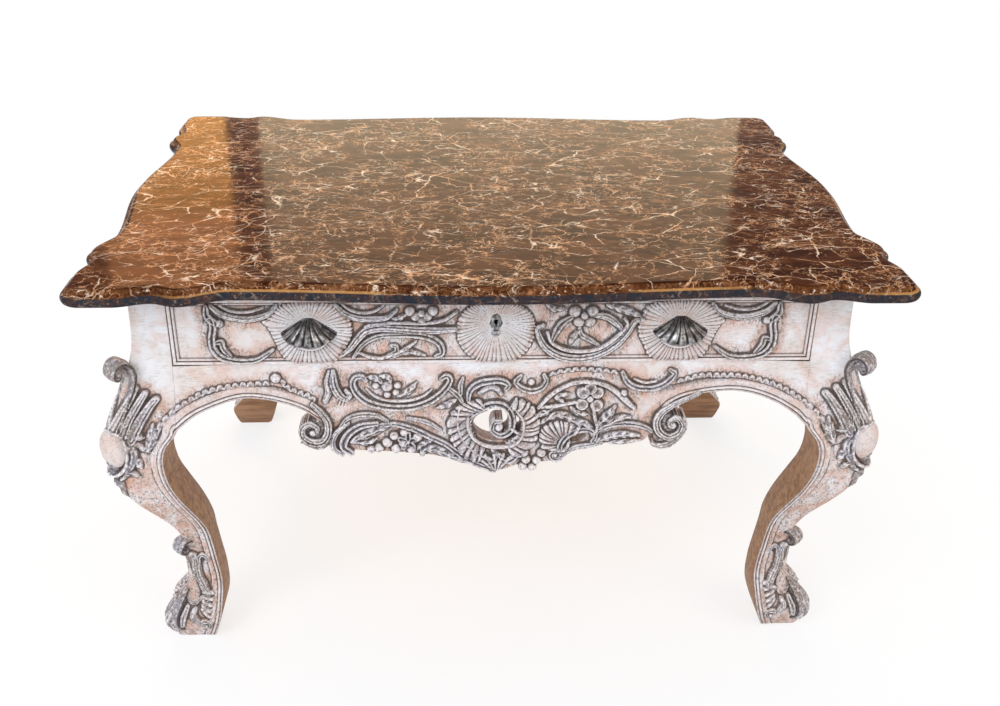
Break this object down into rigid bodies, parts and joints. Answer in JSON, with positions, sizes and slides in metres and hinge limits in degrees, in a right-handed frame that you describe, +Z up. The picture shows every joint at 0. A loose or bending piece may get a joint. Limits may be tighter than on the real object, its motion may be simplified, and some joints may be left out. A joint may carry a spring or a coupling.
{
  "type": "coffee table",
  "caption": "Low table on four carved cabriole legs, with a serpentine marble top and a shaped, pierced front apron under a frieze drawer with shell pulls and a lock.",
  "frame": {"origin": "middle of the floor under the table", "axes": "+X along the front to the right as seen from the front, the front faces -Y, +Z up"},
  "size_m": [1.02, 0.756, 0.556],
  "materials": {
    "brown_marble": "polished dark brown marble with a pale vein network",
    "painted_wood": "aged off-white paint, rubbed through at the edges",
    "glazed_carving": "carved wood, grey-brown glaze with rubbed highlights",
    "plain_wood": "plain planed wood, unpainted",
    "dark_brass": "cast brass, dark patina",
    "brass": "brushed brass",
    "steel": "plain steel"
  },
  "bodies": {
    "table": {"marble_top": "brown_marble", "leg_front_left": "painted_wood", "leg_front_right": "painted_wood", "leg_rear_left": "painted_wood", "leg_rear_right": "painted_wood", "front_rail": "painted_wood", "front_apron": "painted_wood", "side_apron_left": "painted_wood", "side_apron_right": "painted_wood", "back_apron": "painted_wood", "drawer_rail": "plain_wood", "runner_left": "plain_wood", "runner_right": "plain_wood", "guide_left": "plain_wood", "guide_right": "plain_wood", "kicker_left": "plain_wood", "kicker_right": "plain_wood", "marble_bearers": "plain_wood", "travel_stops": "plain_wood", "stop_screws": "steel", "corner_braces": "plain_wood", "brace_screws": "steel", "runner_screws": "steel", "drawer_stops": "plain_wood", "strike_plate": "brass", "strike_screws": "brass"},
    "drawer": {"drawer_front": "painted_wood", "drawer_carving": "glazed_carving", "drawer_side_left": "plain_wood", "drawer_side_right": "plain_wood", "drawer_back": "plain_wood", "drawer_bottom": "plain_wood", "bottom_screws": "steel", "pull_left": "dark_brass", "pull_right": "dark_brass", "pull_screws": "brass", "keyhole_escutcheon": "dark_brass", "escutcheon_pins": "brass", "lock_case": "brass", "lock_screws": "brass"},
    "bolt": {"lock_bolt": "steel"}
  },
  "joints": [
    {"name": "drawer_slide", "type": "slide", "parent": "table", "child": "drawer", "axis": [0, -1, 0], "range_m": [0, 0.34]},
    {"name": "lock_bolt_throw", "type": "slide", "parent": "drawer", "child": "bolt", "axis": [0, 0, 1], "range_m": [0, 0.006]}
  ]
}
